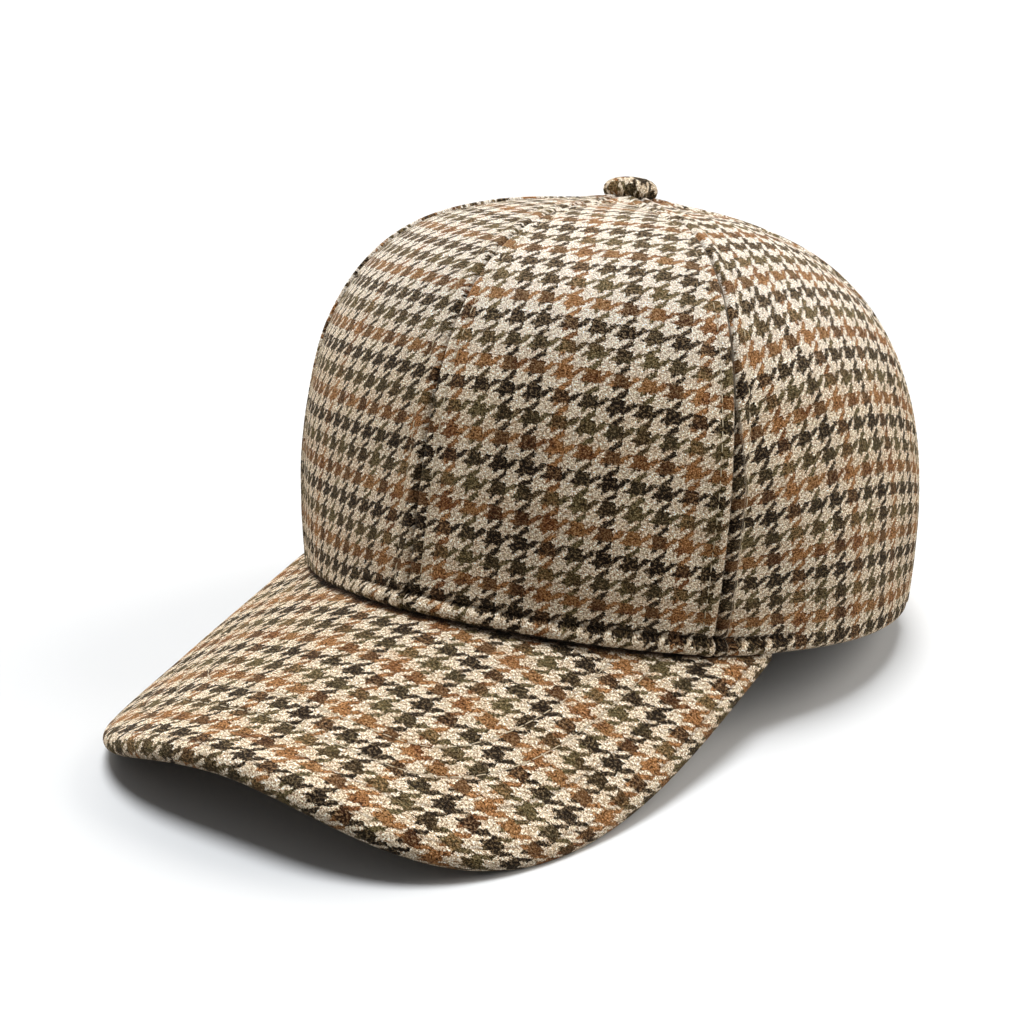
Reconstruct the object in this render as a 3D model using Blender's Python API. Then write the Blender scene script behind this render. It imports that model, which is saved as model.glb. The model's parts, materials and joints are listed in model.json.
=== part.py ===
"""A six-panel cap in houndstooth tweed, with a curved visor and a covered top button.

The cap is modelled in its own frame: +Z up, the visor towards -Y, the wearer's left
towards +X, and the visor's root at the front of the hem near z = 0. An empty then lays
it on the floor z = 0 as it rests by itself: on the two low edges of the visor and on
the back of the hem, leaning back a little.
"""
import math

import bpy
import numpy as np

MM = 0.001

# ---- Crown: a dome over an oval, squarer at the front than at the back ----------------
CROWN_HALF_WIDTH = 87 * MM
CROWN_FRONT_REACH = 95 * MM
CROWN_BACK_REACH = 102 * MM
CROWN_HEIGHT = 101 * MM
CROWN_PEAK = 2.5 * MM            # the panels' points rise a little to the button
PEAK_SHARE = 0.5                 # share of the reach over which they rise
PEAK_POWER = 1.5
APEX_FORWARD = 3 * MM            # the button sits this far towards the visor
HEM_TUCK_SHARE = 0.45            # share of the height over which the hem draws in
BACK_HEM_HEIGHT = -8 * MM        # the hem at the back, below the visor's root
CLOTH = 2.0 * MM                 # tweed with its backing
PANEL_PUFF = 1.0 * MM            # how far a panel swells between its seams
SEAM_GAP = 0.3 * MM
TOP_HOLE_RADIUS = 3.0 * MM       # where the six points meet round the button's shank

# One row per section through the apex, turned from the front (0) to the back (180).
CROWN_SECTIONS = (
    {"direction": 0, "squareness": 3.2, "hem_ratio": 1.02},
    {"direction": 45, "squareness": 3.4, "hem_ratio": 0.96},
    {"direction": 90, "squareness": 2.8, "hem_ratio": 0.99},
    {"direction": 135, "squareness": 2.7, "hem_ratio": 0.99},
    {"direction": 180, "squareness": 2.4, "hem_ratio": 0.98},
)
SECTION_STEP = 45

# One row per panel: the directions of its two seams.
PANELS = (
    {"name": "panel_front_left", "first_seam": 0, "last_seam": 52},
    {"name": "panel_side_left", "first_seam": 52, "last_seam": 116},
    {"name": "panel_back_left", "first_seam": 116, "last_seam": 180},
    {"name": "panel_back_right", "first_seam": -180, "last_seam": -116},
    {"name": "panel_side_right", "first_seam": -116, "last_seam": -52},
    {"name": "panel_front_right", "first_seam": -52, "last_seam": 0},
)
PANEL_COLUMNS = 10
PANEL_ROWS = 22
SECTION_SAMPLES = 400            # points of a section before it is spaced evenly
TANGENT_STEP = math.radians(0.2)

# ---- Visor: a sheet arched from side to side, more tightly towards its front ----------
VISOR_PITCH = math.radians(19.3)
VISOR_ARCH_RADIUS = 108 * MM
VISOR_ARCH_TIGHTENING = 0.21     # share of the radius lost over VISOR_ARCH_LENGTH
VISOR_ARCH_LENGTH = 70 * MM
VISOR_HALF_WIDTH = 76 * MM
VISOR_CORNER_FORWARD = 41 * MM   # from the crown's middle to the visor's hidden corners
VISOR_REACH = 121 * MM           # from those corners to the front edge
VISOR_SIDE_SQUARENESS = 2.9
VISOR_FRONT_SQUARENESS = 3.4
VISOR_THICKNESS = 3.5 * MM
VISOR_CORNER_DIRECTION = 62      # where the visor's corners slip under the hem
VISOR_COLUMNS = 36
VISOR_ROWS = 8
VISOR_RIM_STEPS = 5
OUTLINE_SAMPLES = 720            # points of an outline before it is spaced evenly
SLOPE_STEP = 0.1 * MM

HEM_SEAT_DIRECTION = 66          # the hem lies on the visor up to here
HEM_SEAT_GAP = 0.4 * MM

# ---- Button: a flattened dome on a short shank ----------------------------------------
BUTTON_PROFILE = (
    {"radius": 3.6 * MM, "height": 5.8 * MM},
    {"radius": 5.8 * MM, "height": 5.0 * MM},
    {"radius": 7.0 * MM, "height": 3.7 * MM},
    {"radius": 7.4 * MM, "height": 2.4 * MM},
    {"radius": 7.1 * MM, "height": 1.2 * MM},
    {"radius": 6.2 * MM, "height": 0.2 * MM},
    {"radius": 2.4 * MM, "height": 0.4 * MM},
    {"radius": 2.4 * MM, "height": -2.4 * MM},
)
BUTTON_CROWN_HEIGHT = 6.0 * MM
BUTTON_SIDES = 24

# ---- Resting on the floor --------------------------------------------------------------
FLOOR_FLAT = 0.5 * MM            # depth of cloth pressed flat where the cap rests
STEEPEST_LEAN = math.radians(30)
LEAN_HALVINGS = 40

# ---- Looks -----------------------------------------------------------------------------
TWEED_COLOUR = (0.36, 0.28, 0.19, 1.0)
BUTTON_COLOUR = (0.22, 0.15, 0.10, 1.0)
CLOTH_ROUGHNESS = 0.9
SHARP_ANGLE = math.radians(50)


# ---- Helpers ---------------------------------------------------------------------------
def unit(vector):
    return vector / np.linalg.norm(vector)


def resample(points, count):
    """Spread count + 1 points evenly along a polyline."""
    points = np.asarray(points)
    steps = np.linalg.norm(np.diff(points, axis=0), axis=1)
    travelled = np.concatenate([[0.0], np.cumsum(steps)])
    wanted = np.linspace(0.0, travelled[-1], count + 1)
    return np.stack([np.interp(wanted, travelled, values) for values in points.T], axis=1)


def section_value(theta, column):
    """Read a column of CROWN_SECTIONS smoothly at any direction."""
    values = [row[column] for row in CROWN_SECTIONS]
    last = len(values) - 1
    place = abs(math.degrees(theta)) / SECTION_STEP
    row = min(int(place), last - 1)
    t = place - row
    slopes = [0.0] + [(values[k + 1] - values[k - 1]) / 2 for k in range(1, last)] + [0.0]
    return ((2 * t**3 - 3 * t**2 + 1) * values[row] + (t**3 - 2 * t**2 + t) * slopes[row]
            + (3 * t**2 - 2 * t**3) * values[row + 1] + (t**3 - t**2) * slopes[row + 1])


# ---- Visor surface ---------------------------------------------------------------------
def visor_height(x, y):
    """Height of the visor's upper face over a point of the plan."""
    forward = -y - CROWN_FRONT_REACH
    radius = VISOR_ARCH_RADIUS * (1 - VISOR_ARCH_TIGHTENING * forward / VISOR_ARCH_LENGTH)
    arch = radius - math.sqrt(radius**2 - x**2)
    return -forward * math.tan(VISOR_PITCH) - arch


def visor_normal(x, y):
    step = SLOPE_STEP
    slope_x = (visor_height(x + step, y) - visor_height(x - step, y)) / (2 * step)
    slope_y = (visor_height(x, y + step) - visor_height(x, y - step)) / (2 * step)
    return unit(np.array([-slope_x, -slope_y, 1.0]))


def visor_outline():
    """Plan of the outer edge from the right corner round the front to the left corner."""
    points = []
    for turn in np.linspace(-math.pi / 2, math.pi / 2, OUTLINE_SAMPLES + 1):
        side = math.copysign(abs(math.sin(turn)) ** (2 / VISOR_SIDE_SQUARENESS), turn)
        front = abs(math.cos(turn)) ** (2 / VISOR_FRONT_SQUARENESS)
        points.append((VISOR_HALF_WIDTH * side, -VISOR_CORNER_FORWARD - VISOR_REACH * front))
    return resample(points, VISOR_COLUMNS)


# ---- Crown surface ---------------------------------------------------------------------
def plan_point(theta, ratio):
    """A point of the crown's oval plan, at a share of its full reach."""
    reach = CROWN_FRONT_REACH if math.cos(theta) > 0 else CROWN_BACK_REACH
    return ratio * CROWN_HALF_WIDTH * math.sin(theta), -ratio * reach * math.cos(theta)


def hem_height(theta):
    """The hem lies on the visor at the front, and sinks gently to the back behind it."""
    seat = math.radians(HEM_SEAT_DIRECTION)
    seated = min(abs(theta), seat)
    on_visor = visor_height(*plan_point(seated, section_value(seated, "hem_ratio"))) + HEM_SEAT_GAP
    t = max(abs(theta) - seat, 0.0) / (math.pi - seat)
    return on_visor + (BACK_HEM_HEIGHT - on_visor) * (3 * t**2 - 2 * t**3)


def crown_column(theta):
    """Points up the outside of the crown, evenly spaced from the hem to the top hole."""
    power = 2 / section_value(theta, "squareness")
    hem_ratio = section_value(theta, "hem_ratio")
    low = hem_height(theta)
    points = []
    for rise in np.linspace(0.0, math.pi / 2, SECTION_SAMPLES + 1):
        share = math.sin(rise) ** power
        tuck = 1 - (1 - hem_ratio) * max(1 - share / HEM_TUCK_SHARE, 0.0) ** 2
        ratio = max(math.cos(rise), 0.0) ** power * tuck
        x, y = plan_point(theta, ratio)
        peak = CROWN_PEAK * max(1 - ratio / PEAK_SHARE, 0.0) ** PEAK_POWER
        points.append((x, y - APEX_FORWARD * (1 - ratio), low + (CROWN_HEIGHT - low) * share + peak))
    points = np.array(points)
    from_apex = np.hypot(points[:, 0], points[:, 1] + APEX_FORWARD)
    outside = points[from_apex > TOP_HOLE_RADIUS]
    rim = unit(outside[-1] - points[-1]) * TOP_HOLE_RADIUS + points[-1]
    return resample(np.vstack([outside, rim]), PANEL_ROWS)


def panel_vertices(first_seam, last_seam):
    """Outer and inner grids of one panel, column by column from seam to seam."""
    spread = np.linspace(math.radians(first_seam), math.radians(last_seam), PANEL_COLUMNS + 1)
    outer = []
    inner = []
    for place, theta in enumerate(spread):
        column = crown_column(theta)
        ahead = crown_column(theta + TANGENT_STEP)
        behind = crown_column(theta - TANGENT_STEP)
        along = np.gradient(column, axis=0)
        across_share = place / PANEL_COLUMNS
        nudge = {0: SEAM_GAP / 2, PANEL_COLUMNS: -SEAM_GAP / 2}.get(place, 0.0)
        for row in range(PANEL_ROWS + 1):
            across = unit(ahead[row] - behind[row])
            normal = unit(np.cross(across, along[row]))
            puff = PANEL_PUFF * math.sin(math.pi * across_share) * math.sin(math.pi * row / PANEL_ROWS)
            shift = across * nudge
            face = column[row] + normal * puff + shift
            back = column[row] + normal * (puff - CLOTH) + shift
            if row == 0:
                back[2] = face[2]
                if abs(theta) < math.radians(HEM_SEAT_DIRECTION):
                    back[2] = visor_height(back[0], back[1]) + HEM_SEAT_GAP
            outer.append(face)
            inner.append(back)
    return outer + inner


def panel_faces():
    """Quads over both grids, and round the four edges between them."""
    rows = PANEL_ROWS + 1
    back = rows * (PANEL_COLUMNS + 1)
    faces = []
    for column in range(PANEL_COLUMNS):
        for row in range(PANEL_ROWS):
            corner = column * rows + row
            quad = (corner, corner + rows, corner + rows + 1, corner + 1)
            faces.append(quad)
            faces.append(tuple(back + index for index in reversed(quad)))
    for column in range(PANEL_COLUMNS):
        low = column * rows
        high = low + PANEL_ROWS
        faces.append((low, back + low, back + low + rows, low + rows))
        faces.append((high, high + rows, back + high + rows, back + high))
    for row in range(PANEL_ROWS):
        first = row
        last = PANEL_COLUMNS * rows + row
        faces.append((first, first + 1, back + first + 1, back + first))
        faces.append((last, back + last, back + last + 1, last + 1))
    return faces


# ---- Visor solid -----------------------------------------------------------------------
def visor_root():
    """Plan of the visor's inner edge, level with the inside of the crown's wall."""
    corner = math.radians(VISOR_CORNER_DIRECTION)
    points = []
    for theta in np.linspace(-corner, corner, OUTLINE_SAMPLES + 1):
        x, y = plan_point(theta, section_value(theta, "hem_ratio"))
        outward = unit(np.array([x / CROWN_HALF_WIDTH**2, y / CROWN_FRONT_REACH**2]))
        points.append((x - CLOTH * outward[0], y - CLOTH * outward[1]))
    return resample(points, VISOR_COLUMNS)


def visor_ring(root, edge, outward):
    """One section of the visor: along the top, round the rolled rim, back underneath."""
    half = VISOR_THICKNESS / 2
    rim_centre = edge - outward * half
    top = []
    below = []
    for share in np.linspace(0.0, 1.0, VISOR_ROWS + 1):
        x, y = root + (rim_centre - root) * share
        point = np.array([x, y, visor_height(x, y)])
        top.append(point)
        below.append(point - visor_normal(x, y) * VISOR_THICKNESS)
    normal = visor_normal(*rim_centre)
    slope = visor_height(*(rim_centre + outward * MM)) - visor_height(*rim_centre)
    out = unit(np.array([outward[0], outward[1], slope / MM]))
    middle = (top[-1] + below[-1]) / 2
    rim = []
    for turn in np.linspace(math.pi / 2, -math.pi / 2, VISOR_RIM_STEPS + 1)[1:-1]:
        rim.append(middle + (out * math.cos(turn) + normal * math.sin(turn)) * half)
    return top + rim + below[::-1]


def visor_mesh():
    edge = visor_outline()
    root = visor_root()
    along = np.gradient(edge, axis=0)
    rings = []
    for column in range(VISOR_COLUMNS + 1):
        outward = unit(np.array([along[column][1], -along[column][0]]))
        rings.append(visor_ring(root[column], edge[column], outward))
    size = len(rings[0])
    faces = []
    for column in range(VISOR_COLUMNS):
        first = column * size
        for place in range(size):
            following = (place + 1) % size
            faces.append((first + place, first + following, first + size + following, first + size + place))
    for first, flip in ((0, True), (VISOR_COLUMNS * size, False)):
        for place in range(size // 2 - 1):
            top = first + place
            under = first + size - 1 - place
            quad = (top, top + 1, under - 1, under) if under > top + 2 else (top, top + 1, under)
            faces.append(quad[::-1] if flip else quad)
    return [point for ring in rings for point in ring], faces


# ---- Button solid ----------------------------------------------------------------------
def button_mesh():
    apex = np.array([0.0, -APEX_FORWARD, crown_column(0.0)[-1][2]])
    vertices = []
    for row in BUTTON_PROFILE:
        for side in range(BUTTON_SIDES):
            turn = 2 * math.pi * side / BUTTON_SIDES
            offset = (row["radius"] * math.cos(turn), row["radius"] * math.sin(turn), row["height"])
            vertices.append(apex + np.array(offset))
    top = len(vertices)
    vertices.append(apex + np.array([0.0, 0.0, BUTTON_CROWN_HEIGHT]))
    vertices.append(apex + np.array([0.0, 0.0, BUTTON_PROFILE[-1]["height"]]))
    last_ring = (len(BUTTON_PROFILE) - 1) * BUTTON_SIDES
    faces = []
    for side in range(BUTTON_SIDES):
        following = (side + 1) % BUTTON_SIDES
        faces.append((top, side, following))
        faces.append((top + 1, last_ring + following, last_ring + side))
        for ring in range(0, last_ring, BUTTON_SIDES):
            below = ring + BUTTON_SIDES
            faces.append((ring + side, below + side, below + following, ring + following))
    return vertices, faces


# ---- Resting on the floor --------------------------------------------------------------
def floor_up(tilt):
    """The floor's upward direction in the cap's frame, when the cap leans back by tilt."""
    return np.array([0.0, -math.sin(tilt), math.cos(tilt)])


def rest_tilt(visor_points, crown_points):
    """The lean at which the visor's edges and the back of the hem share one floor."""
    low = 0.0
    high = STEEPEST_LEAN
    for _ in range(LEAN_HALVINGS):
        middle = (low + high) / 2
        up = floor_up(middle)
        if (visor_points @ up).min() < (crown_points @ up).min():
            low = middle
        else:
            high = middle
    return (low + high) / 2


def flatten(points, up, floor):
    """Press whatever lies below the floor flat onto it."""
    sunk = np.maximum(floor - points @ up, 0.0)
    return points + sunk[:, None] * up


# ---- Scene -----------------------------------------------------------------------------
def cloth_material(name, colour):
    material = bpy.data.materials.new(name)
    material.use_nodes = True
    shader = material.node_tree.nodes["Principled BSDF"]
    shader.inputs["Base Color"].default_value = colour
    shader.inputs["Roughness"].default_value = CLOTH_ROUGHNESS
    shader.inputs["Metallic"].default_value = 0.0
    return material


def add_piece(name, vertices, faces, colour, parent):
    mesh = bpy.data.meshes.new(name)
    mesh.from_pydata([tuple(vertex) for vertex in vertices], [], faces)
    mesh.shade_smooth()
    mesh.set_sharp_from_angle(angle=SHARP_ANGLE)
    mesh.materials.append(cloth_material(name + "_cloth", colour))
    piece = bpy.data.objects.new(name, mesh)
    piece.parent = parent
    bpy.context.collection.objects.link(piece)
    return piece


def build_cap():
    for old in list(bpy.data.objects):
        bpy.data.objects.remove(old, do_unlink=True)

    meshes = {}
    for row in PANELS:
        vertices = np.array(panel_vertices(row["first_seam"], row["last_seam"]))
        meshes[row["name"]] = (vertices, panel_faces(), TWEED_COLOUR)
    vertices, faces = visor_mesh()
    meshes["visor"] = (np.array(vertices), faces, TWEED_COLOUR)
    vertices, faces = button_mesh()
    meshes["button"] = (np.array(vertices), faces, BUTTON_COLOUR)

    crown_points = np.vstack([meshes[row["name"]][0] for row in PANELS])
    visor_points = meshes["visor"][0]
    tilt = rest_tilt(visor_points, crown_points)
    up = floor_up(tilt)
    floor = (visor_points @ up).min() + FLOOR_FLAT
    level_back = np.array([0.0, math.cos(tilt), math.sin(tilt)])
    lengthwise = np.concatenate([crown_points @ level_back, visor_points @ level_back])

    rest = bpy.data.objects.new("cap_at_rest", None)
    rest.rotation_euler = (-tilt, 0.0, 0.0)
    rest.location = (0.0, -(lengthwise.min() + lengthwise.max()) / 2, -floor)
    bpy.context.collection.objects.link(rest)
    for name, (vertices, faces, colour) in meshes.items():
        add_piece(name, flatten(vertices, up, floor), faces, colour, rest)


build_cap()
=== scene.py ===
"""The looks of a six-panel cap in houndstooth tweed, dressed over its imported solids.

Every surface is worked out in the cap's own frame (+Z up, visor towards -Y, the wearer's
left towards +X) from the same few sizes as the solids, and is then laid down as the cap
rests: leaning back a little on its visor and the back of its hem. Lengths are in metres.
"""

import json
import math

import bpy
import numpy as np
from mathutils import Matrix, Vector

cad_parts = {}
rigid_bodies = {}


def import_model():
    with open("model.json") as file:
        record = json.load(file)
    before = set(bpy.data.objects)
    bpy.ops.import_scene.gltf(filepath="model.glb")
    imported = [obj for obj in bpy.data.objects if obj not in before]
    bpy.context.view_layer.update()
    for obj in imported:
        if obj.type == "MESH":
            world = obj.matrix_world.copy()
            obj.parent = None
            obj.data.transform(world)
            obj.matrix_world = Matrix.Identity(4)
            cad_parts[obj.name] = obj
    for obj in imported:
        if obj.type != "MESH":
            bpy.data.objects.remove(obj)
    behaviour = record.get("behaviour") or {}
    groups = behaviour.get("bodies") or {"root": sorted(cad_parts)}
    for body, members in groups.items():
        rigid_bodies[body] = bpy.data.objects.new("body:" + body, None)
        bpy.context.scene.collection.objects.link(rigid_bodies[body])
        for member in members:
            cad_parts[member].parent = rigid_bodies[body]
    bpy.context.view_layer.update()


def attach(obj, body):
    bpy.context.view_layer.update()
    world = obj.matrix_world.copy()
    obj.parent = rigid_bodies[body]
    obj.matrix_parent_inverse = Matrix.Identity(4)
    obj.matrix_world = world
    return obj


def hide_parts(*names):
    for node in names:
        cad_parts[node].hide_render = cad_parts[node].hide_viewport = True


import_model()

MM = 0.001
BODY = "root"

# ---- Crown: a dome over an oval, squarer at the front than at the back ----
CROWN_HALF_WIDTH = 87 * MM
CROWN_FRONT_REACH = 95 * MM
CROWN_BACK_REACH = 102 * MM
CROWN_HEIGHT = 101 * MM
CROWN_PEAK = 2.5 * MM
PEAK_SHARE = 0.5
PEAK_POWER = 1.5
APEX_FORWARD = 3 * MM
HEM_TUCK_SHARE = 0.45
BACK_HEM_HEIGHT = -8 * MM
CLOTH = 2.0 * MM
PANEL_PUFF = 1.0 * MM
TOP_HOLE_RADIUS = 3.0 * MM
CROWN_SECTIONS = (
    {"direction": 0, "squareness": 3.2, "hem_ratio": 1.02},
    {"direction": 45, "squareness": 3.4, "hem_ratio": 0.96},
    {"direction": 90, "squareness": 2.8, "hem_ratio": 0.99},
    {"direction": 135, "squareness": 2.7, "hem_ratio": 0.99},
    {"direction": 180, "squareness": 2.4, "hem_ratio": 0.98},
)
SECTION_STEP = 45
SECTION_SAMPLES = 400
HEM_SEAT_DIRECTION = 66
HEM_SEAT_GAP = 0.4 * MM

# ---- Visor: a sheet arched from side to side, more tightly towards its front ----
VISOR_PITCH = math.radians(19.3)
VISOR_ARCH_RADIUS = 108 * MM
VISOR_ARCH_TIGHTENING = 0.21
VISOR_ARCH_LENGTH = 70 * MM
VISOR_HALF_WIDTH = 76 * MM
VISOR_CORNER_FORWARD = 41 * MM
VISOR_REACH = 121 * MM
VISOR_SIDE_SQUARENESS = 2.9
VISOR_FRONT_SQUARENESS = 3.4
VISOR_THICKNESS = 3.5 * MM
VISOR_CORNER_DIRECTION = 62

# ---- How the cap lies ----
REST_LEAN = math.radians(7.79)
REST_PLACE = np.array([0.0, 30.755, 20.967]) * MM

# ---- Camera ----
CAMERA_AZIMUTH = math.radians(34.27)
CAMERA_ELEVATION = math.radians(18.195)
CAMERA_TARGET = Vector((-14.586, 3.934, 38.517)) * MM
CAMERA_DISTANCE = 485.6 * MM
CAMERA_LENS = 59.95
CAMERA_SENSOR = 36.0


# ==== Helpers ====
def smooth(t):
    t = np.clip(t, 0.0, 1.0)
    return t * t * (3 - 2 * t)


def fade(values, start, reach):
    """0 up to start, then smoothly up to 1 over the reach."""
    return smooth((values - start) / reach)


def dip(distance, width):
    """A soft bump of height 1 where distance is 0."""
    return np.exp(-((distance / width) ** 2))


def units(vectors):
    lengths = np.linalg.norm(vectors, axis=-1, keepdims=True)
    return vectors / np.maximum(lengths, 1e-12)


def travelled_along(points, axis):
    """Distance travelled along an axis of a grid of points."""
    steps = np.linalg.norm(np.diff(points, axis=axis), axis=-1)
    start = np.zeros_like(np.take(steps, [0], axis=axis))
    return np.concatenate([start, np.cumsum(steps, axis=axis)], axis=axis)


def grid_normals(points):
    return units(np.cross(np.gradient(points, axis=0), np.gradient(points, axis=1)))


def laid_down(points):
    """From the cap's own frame to where it rests on the floor."""
    turn = np.array([
        [1.0, 0.0, 0.0],
        [0.0, math.cos(REST_LEAN), math.sin(REST_LEAN)],
        [0.0, -math.sin(REST_LEAN), math.cos(REST_LEAN)],
    ])
    return points @ turn.T + REST_PLACE


# ==== Surfaces ====
def section_value(theta, column):
    """Read a column of CROWN_SECTIONS smoothly at any directions."""
    values = np.array([row[column] for row in CROWN_SECTIONS])
    last = len(values) - 1
    place = np.abs(np.degrees(theta)) / SECTION_STEP
    row = np.minimum(place.astype(int), last - 1)
    t = place - row
    slopes = np.zeros(last + 1)
    slopes[1:last] = (values[2:] - values[:-2]) / 2
    return ((2 * t**3 - 3 * t**2 + 1) * values[row] + (t**3 - 2 * t**2 + t) * slopes[row]
            + (3 * t**2 - 2 * t**3) * values[row + 1] + (t**3 - t**2) * slopes[row + 1])


def visor_radius(y):
    forward = -y - CROWN_FRONT_REACH
    return VISOR_ARCH_RADIUS * (1 - VISOR_ARCH_TIGHTENING * forward / VISOR_ARCH_LENGTH)


def visor_height(x, y):
    radius = visor_radius(y)
    forward = -y - CROWN_FRONT_REACH
    return -forward * math.tan(VISOR_PITCH) - (radius - np.sqrt(radius**2 - x**2))


def plan_point(theta, ratio):
    reach = np.where(np.cos(theta) > 0, CROWN_FRONT_REACH, CROWN_BACK_REACH)
    return ratio * CROWN_HALF_WIDTH * np.sin(theta), -ratio * reach * np.cos(theta)


def hem_height(theta):
    seat = math.radians(HEM_SEAT_DIRECTION)
    seated = np.minimum(np.abs(theta), seat)
    seat_points = plan_point(seated, section_value(seated, "hem_ratio"))
    on_visor = visor_height(*seat_points) + HEM_SEAT_GAP
    return on_visor + (BACK_HEM_HEIGHT - on_visor) * fade(np.abs(theta), seat, math.pi - seat)


def crown_points(theta, shares):
    """Points of the outside of the crown: a column for each direction, a row for each share
    of the way from the hem to the top hole. Also each column's length."""
    theta = np.asarray(theta, float)
    power = (2 / section_value(theta, "squareness"))[:, None]
    hem_ratio = section_value(theta, "hem_ratio")[:, None]
    low = hem_height(theta)[:, None]
    rise = np.linspace(0.0, math.pi / 2, SECTION_SAMPLES + 1)[None]
    share = np.sin(rise) ** power
    tuck = 1 - (1 - hem_ratio) * np.maximum(1 - share / HEM_TUCK_SHARE, 0.0) ** 2
    ratio = np.maximum(np.cos(rise), 0.0) ** power * tuck
    x, y = plan_point(theta[:, None], ratio)
    y = y - APEX_FORWARD * (1 - ratio)
    peak = CROWN_PEAK * np.maximum(1 - ratio / PEAK_SHARE, 0.0) ** PEAK_POWER
    z = low + (CROWN_HEIGHT - low) * share + peak
    dense = np.stack([x, y, z], axis=-1)
    from_apex = np.hypot(dense[..., 0], dense[..., 1] + APEX_FORWARD)
    grid = []
    lengths = []
    for column, reach in zip(dense, from_apex):
        outside = column[reach > TOP_HOLE_RADIUS]
        rim = units(outside[-1] - column[-1]) * TOP_HOLE_RADIUS + column[-1]
        line = np.vstack([outside, rim])
        travelled = travelled_along(line, 0)
        wanted = shares * travelled[-1]
        grid.append(np.stack([np.interp(wanted, travelled, values) for values in line.T], axis=1))
        lengths.append(travelled[-1])
    return np.array(grid), np.array(lengths)


NOISE_WAVES = 9
NOISE_PITCHES = (0.7, 1.5)       # of the size asked for


def soft_noise(points, size, seed):
    """Smooth noise, mostly between -1 and 1, over points in space: a few turned sine waves."""
    random = np.random.default_rng(seed)
    total = np.zeros(points.shape[:-1])
    for _ in range(NOISE_WAVES):
        direction = units(random.normal(size=3))
        pitch = size * random.uniform(*NOISE_PITCHES)
        start = random.uniform(0, 2 * math.pi)
        total += np.sin(points @ direction * (2 * math.pi / pitch) + start)
    return total / math.sqrt(NOISE_WAVES)


# ==== Meshes ====
def patch(indices, uv):
    """Quads over a grid of vertex indices, with a UV for each corner."""
    def corners(values):
        around = (values[:-1, :-1], values[1:, :-1], values[1:, 1:], values[:-1, 1:])
        return np.stack(around, axis=2)

    return corners(indices).reshape(-1, 4), corners(uv).reshape(-1, 4, 2)


def numbered(points):
    """A number for each point of a grid, in the order that they are stored in."""
    return np.arange(points[..., 0].size).reshape(points.shape[:-1])


def make_mesh(name, vertices, patches, material, **attributes):
    """A mesh of these patches. The attributes are point by point: "hollow" says how much
    shade is painted on the cloth in its creases, "nap" how much paler it is painted
    towards the top, a painted sheen, and "from_edge" how far from the visor's edge it is, in
    millimetres, or 0 where there are no stitches."""
    faces = np.concatenate([quads for quads, _ in patches])
    uv = np.concatenate([corners for _, corners in patches])
    mesh = bpy.data.meshes.new(name)
    mesh.vertices.add(len(vertices))
    mesh.vertices.foreach_set("co", np.asarray(vertices, np.float32).ravel())
    mesh.loops.add(faces.size)
    mesh.loops.foreach_set("vertex_index", faces.astype(np.int32).ravel())
    mesh.polygons.add(len(faces))
    starts = np.arange(0, faces.size, faces.shape[1], dtype=np.int32)
    mesh.polygons.foreach_set("loop_start", starts)
    weave = mesh.uv_layers.new(name="weave")
    weave.uv.foreach_set("vector", uv.astype(np.float32).ravel())
    for attribute, values in attributes.items():
        layer = mesh.attributes.new(attribute, "FLOAT", "POINT")
        layer.data.foreach_set("value", values.astype(np.float32).ravel())
    mesh.update(calc_edges=True)
    mesh.validate()
    mesh.shade_smooth()
    mesh.materials.append(material)
    return mesh


def add_piece(name, mesh, slot, *nodes):
    piece = bpy.data.objects.new(name, mesh)
    bpy.context.scene.collection.objects.link(piece)
    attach(piece, BODY)
    if nodes:
        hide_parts(*nodes)


# ==== Materials ====
COLOUR_MIX_INPUTS = (0, 6, 7)    # a Mix node's factor and its two colours
COLOUR_MIX_OUTPUT = 2


class Graph:
    """Short names for the nodes of one material."""

    def __init__(self, name):
        self.material = bpy.data.materials.new(name)
        self.material.use_nodes = True
        self.tree = self.material.node_tree
        self.shader = self.tree.nodes["Principled BSDF"]

    def node(self, kind, **settings):
        node = self.tree.nodes.new(kind)
        for key, value in settings.items():
            setattr(node, key, value)
        return node

    def plug(self, socket, value):
        if isinstance(value, bpy.types.NodeSocket):
            self.tree.links.new(value, socket)
        else:
            socket.default_value = value

    def attribute(self, name):
        return self.node("ShaderNodeAttribute", attribute_name=name).outputs["Fac"]

    def math(self, operation, *values):
        node = self.node("ShaderNodeMath", operation=operation)
        for socket, value in zip(node.inputs, values):
            self.plug(socket, value)
        return node.outputs[0]

    def mix(self, factor, first, second, blend="MIX"):
        node = self.node("ShaderNodeMix", data_type="RGBA", blend_type=blend)
        for place, value in zip(COLOUR_MIX_INPUTS, (factor, first, second)):
            self.plug(node.inputs[place], value)
        return node.outputs[COLOUR_MIX_OUTPUT]

    def times(self, first, second):
        """One colour tinted by another."""
        return self.mix(1.0, first, second, "MULTIPLY")

    def noise(self, vector, scale, detail, roughness):
        node = self.node("ShaderNodeTexNoise")
        given = {"Vector": vector, "Scale": scale, "Detail": detail, "Roughness": roughness}
        for socket, value in given.items():
            self.plug(node.inputs[socket], value)
        return node.outputs["Fac"]

    def range(self, value, low, high, to_low=0.0, to_high=1.0):
        node = self.node("ShaderNodeMapRange")
        for socket, given in zip(node.inputs, (value, low, high, to_low, to_high)):
            self.plug(socket, given)
        return node.outputs[0]

    def bump(self, height, strength, distance):
        node = self.node("ShaderNodeBump")
        for socket, value in (("Strength", strength), ("Distance", distance), ("Height", height)):
            self.plug(node.inputs[socket], value)
        self.plug(self.shader.inputs["Normal"], node.outputs[0])


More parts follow.
